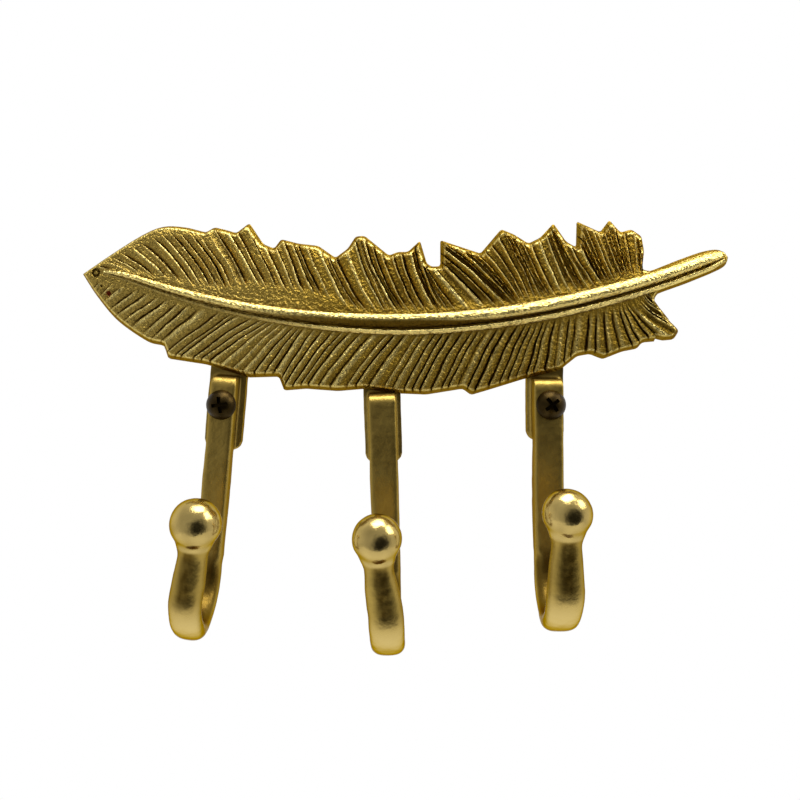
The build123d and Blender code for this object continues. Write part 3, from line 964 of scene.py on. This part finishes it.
def linear(colour):
    """An sRGB hex colour as linear red, green and blue, with full cover."""
    parts = [int(colour[i : i + 2], 16) / 255 for i in (1, 3, 5)]
    return [part / 12.92 if part <= 0.04045 else ((part + 0.055) / 1.055) ** 2.4 for part in parts] + [1.0]


def add(tree, kind, links=None, **settings):
    """Adds a node with its settings. Links maps a socket to a value or to another node's output."""
    node = tree.nodes.new("ShaderNode" + kind)
    for key, value in settings.items():
        setattr(node, key, value)
    for socket, value in (links or {}).items():
        if isinstance(value, bpy.types.NodeSocket):
            tree.links.new(value, node.inputs[socket])
        else:
            node.inputs[socket].default_value = value
    return node


def per_mm(size):
    """Scale of a pattern whose features are this many millimetres across."""
    return 1 / (size * MM)


def speckle(tree, place, size, detail):
    """Noise with features of this many millimetres."""
    return add(tree, "TexNoise", {"Vector": place, "Scale": per_mm(size), "Detail": detail}).outputs["Fac"]


def painted(tree, layer):
    """What is painted on the piece in a layer."""
    return add(tree, "Attribute", attribute_name=layer).outputs["Fac"]


def scaled(tree, value, low, high):
    """A value from 0 to 1, brought between two limits."""
    return add(tree, "MapRange", {"Value": value, "To Min": low, "To Max": high}).outputs["Result"]


def blend(tree, factor, first, second):
    """A colour between two."""
    return add(tree, "Mix", {"Factor": factor, "A": first, "B": second}, data_type="RGBA").outputs["Result"]


def most(tree, first, *others):
    """The largest of several values."""
    for other in others:
        first = add(tree, "Math", {0: first, 1: other}, operation="MAXIMUM").outputs["Value"]
    return first


def material(name):
    """An empty material and its node tree, with the shader and the object's own coordinates."""
    made = bpy.data.materials.new(name)
    made.use_nodes = True
    tree = made.node_tree
    shader = tree.nodes["Principled BSDF"]
    place = add(tree, "TexCoord").outputs["Object"]
    return made, tree, shader, place


def cast_brass(name, tones, grain_height, grain_size, plain_rough, worn_rough):
    """Cast brass, hand polished: bright where it was rubbed and where a highlight is painted, brown and matt
    with tarnish and painted shade down in the grooves.
    """
    made, tree, shader, place = material(name)
    shader.inputs["Metallic"].default_value = 1.0
    shader.inputs["Specular Tint"].default_value = linear("#ac9560")
    wear_and_highlight = painted(tree, "wear_and_highlight")
    grain = speckle(tree, place, grain_size, 3.0)

    # Two tones of plain metal in clouds, then what is rubbed and the painted highlights, then tarnish with
    # painted shade, and rust, over both
    plain, paler, rubbed = [linear(tone) for tone in tones]
    colour = blend(tree, speckle(tree, place, CLOUD_SIZE, 3.0), plain, paler)
    # The rubbed tone stands for polish and for painted highlights
    colour = blend(tree, wear_and_highlight, colour, rubbed)
    # One dark brown for tarnish and for painted shade
    colour = blend(tree, scaled(tree, painted(tree, "dark"), 0.0, TARNISH_AND_SHADE_COVER), colour, linear("#584212"))
    colour = blend(tree, painted(tree, "rust"), colour, linear("#6a2412"))
    tree.links.new(colour, shader.inputs["Base Color"])

    rough = scaled(tree, wear_and_highlight, plain_rough, worn_rough)
    spread = scaled(tree, grain, -ROUGH_SPREAD, ROUGH_SPREAD)
    total = add(tree, "Math", {0: rough, 1: spread}, operation="ADD").outputs["Value"]
    tree.links.new(total, shader.inputs["Roughness"])
    relief = {"Height": grain, "Strength": scaled(tree, wear_and_highlight, 1.0, WORN_GRAIN), "Distance": grain_height * MM}
    tree.links.new(add(tree, "Bump", relief).outputs["Normal"], shader.inputs["Normal"])
    return made


def antiqued_screw():
    """Brass-plated screw, blackened: dull brown metal in uneven tones, shinier where it is paler."""
    made, tree, shader, place = material("antiqued_brass_screw")
    shader.inputs["Metallic"].default_value = 1.0
    cloud = speckle(tree, place, 1.6, 4.0)
    tree.links.new(blend(tree, cloud, linear("#1c160c"), linear("#443518")), shader.inputs["Base Color"])
    tree.links.new(scaled(tree, cloud, 0.45, 0.28), shader.inputs["Roughness"])
    return made


def dress(piece, finish, node):
    """Gives a piece its finish, lets it stand for its node and lets it move with the body."""
    piece.data.materials.clear()
    piece.data.materials.append(finish)
    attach(piece, "root")
    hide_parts(node)


feather_brass = cast_brass("cast_brass_feather", ("#8c7024", "#9c7f30", "#f5dd88"), 0.75, 0.85, 0.34, 0.2)
dress(feather, feather_brass, "feather_plate")
hook_brass = cast_brass("cast_brass_hook", ("#957b3a", "#c6aa58", "#d6bd78"), 0.12, 1.6, 0.41, 0.12)
for node, hook in hooks.items():
    dress(hook, hook_brass, node)
dress(screws, antiqued_screw(), "wall_screws")


# Studio: a pale floor, a white surround, a soft light overhead, a smaller one at the right, and the camera

# What metal shows of the room: heading, degrees from it where the dimming is full and where it ends, and the
# light left there. The room in front of the object is dim, and a patch of it to the right is dark.
ROOM = (
    ((0.0, -1.0, 0.12), 20, 120, 0.48),
    ((0.31, -0.93, -0.2), 22, 50, 0.03),
)
FILL = 0.6  # light of the surround on what isn't metal
# Name, place, width, height and power
SOFTBOXES = (
    ("overhead", (0.05, -0.1, 0.55), 0.45, 0.32, 3.6),
    ("upper_right", (0.45, -0.14, 0.33), 0.3, 0.3, 1.5),
)
SENSOR_WIDTH = 36.0
FOCAL_SHARE = 791.7 / 800  # focal length as a share of the picture's width

deselect()
bpy.ops.mesh.primitive_plane_add(size=0.9, location=(0, 0.2, -0.25))
floor = bpy.context.object
floor.name = "studio_floor"
pale, tree, shader, _ = material("pale_floor_paint")
shader.inputs["Base Color"].default_value = linear("#f2f1ee")
shader.inputs["Roughness"].default_value = 0.9
rays = add(tree, "LightPath").outputs
seen = most(tree, rays["Is Camera Ray"], rays["Is Glossy Ray"], rays["Is Transmission Ray"])
white = add(tree, "Emission", {"Color": linear("#ffffff"), "Strength": 1.0})
mixed = add(tree, "MixShader", {0: seen, 1: shader.outputs[0], 2: white.outputs[0]})
tree.links.new(mixed.outputs[0], tree.nodes["Material Output"].inputs["Surface"])
floor.data.materials.append(pale)

world = bpy.data.worlds.new("studio")
bpy.context.scene.world = world
world.use_nodes = True
tree = world.node_tree
aim = add(tree, "TexCoord").outputs["Generated"]
dim = 1.0
for heading, near, far, left in ROOM:
    toward = add(tree, "VectorMath", {0: aim, 1: Vector(heading).normalized()}, operation="DOT_PRODUCT")
    limits = {"Value": toward.outputs["Value"], "From Min": cos(radians(far)), "From Max": cos(radians(near))}
    limits.update({"To Min": 1.0, "To Max": left})
    part = add(tree, "MapRange", limits, interpolation_type="SMOOTHSTEP").outputs["Result"]
    dim = add(tree, "Math", {0: dim, 1: part}, operation="MULTIPLY").outputs["Value"]
rays = add(tree, "LightPath").outputs
around = add(tree, "Mix", {"Factor": rays["Is Glossy Ray"], "A": FILL, "B": dim}).outputs["Result"]
clear = most(tree, rays["Is Camera Ray"], rays["Is Transmission Ray"])
level = add(tree, "Mix", {"Factor": clear, "A": around, "B": 1.0}).outputs["Result"]
tree.links.new(level, tree.nodes["Background"].inputs["Color"])

for name, place, width, height, power in SOFTBOXES:
    lamp = bpy.data.lights.new(name, "AREA")
    lamp.shape = "RECTANGLE"
    lamp.size = width
    lamp.size_y = height
    lamp.energy = power
    softbox = bpy.data.objects.new(name, lamp)
    bpy.context.scene.collection.objects.link(softbox)
    softbox.location = place
    softbox.rotation_euler = (-Vector(place)).to_track_quat("-Z", "Y").to_euler()

camera = bpy.data.cameras.new("camera")
camera.sensor_width = SENSOR_WIDTH
camera.lens = SENSOR_WIDTH * FOCAL_SHARE
camera.clip_start = 0.01
eye = bpy.data.objects.new("camera", camera)
eye.location = (0.00426, -0.252, 0.0015)
eye.rotation_euler = (pi / 2, 0, 0)
bpy.context.scene.collection.objects.link(eye)
bpy.context.scene.camera = eye
bpy.context.scene.view_settings.view_transform = "Standard"
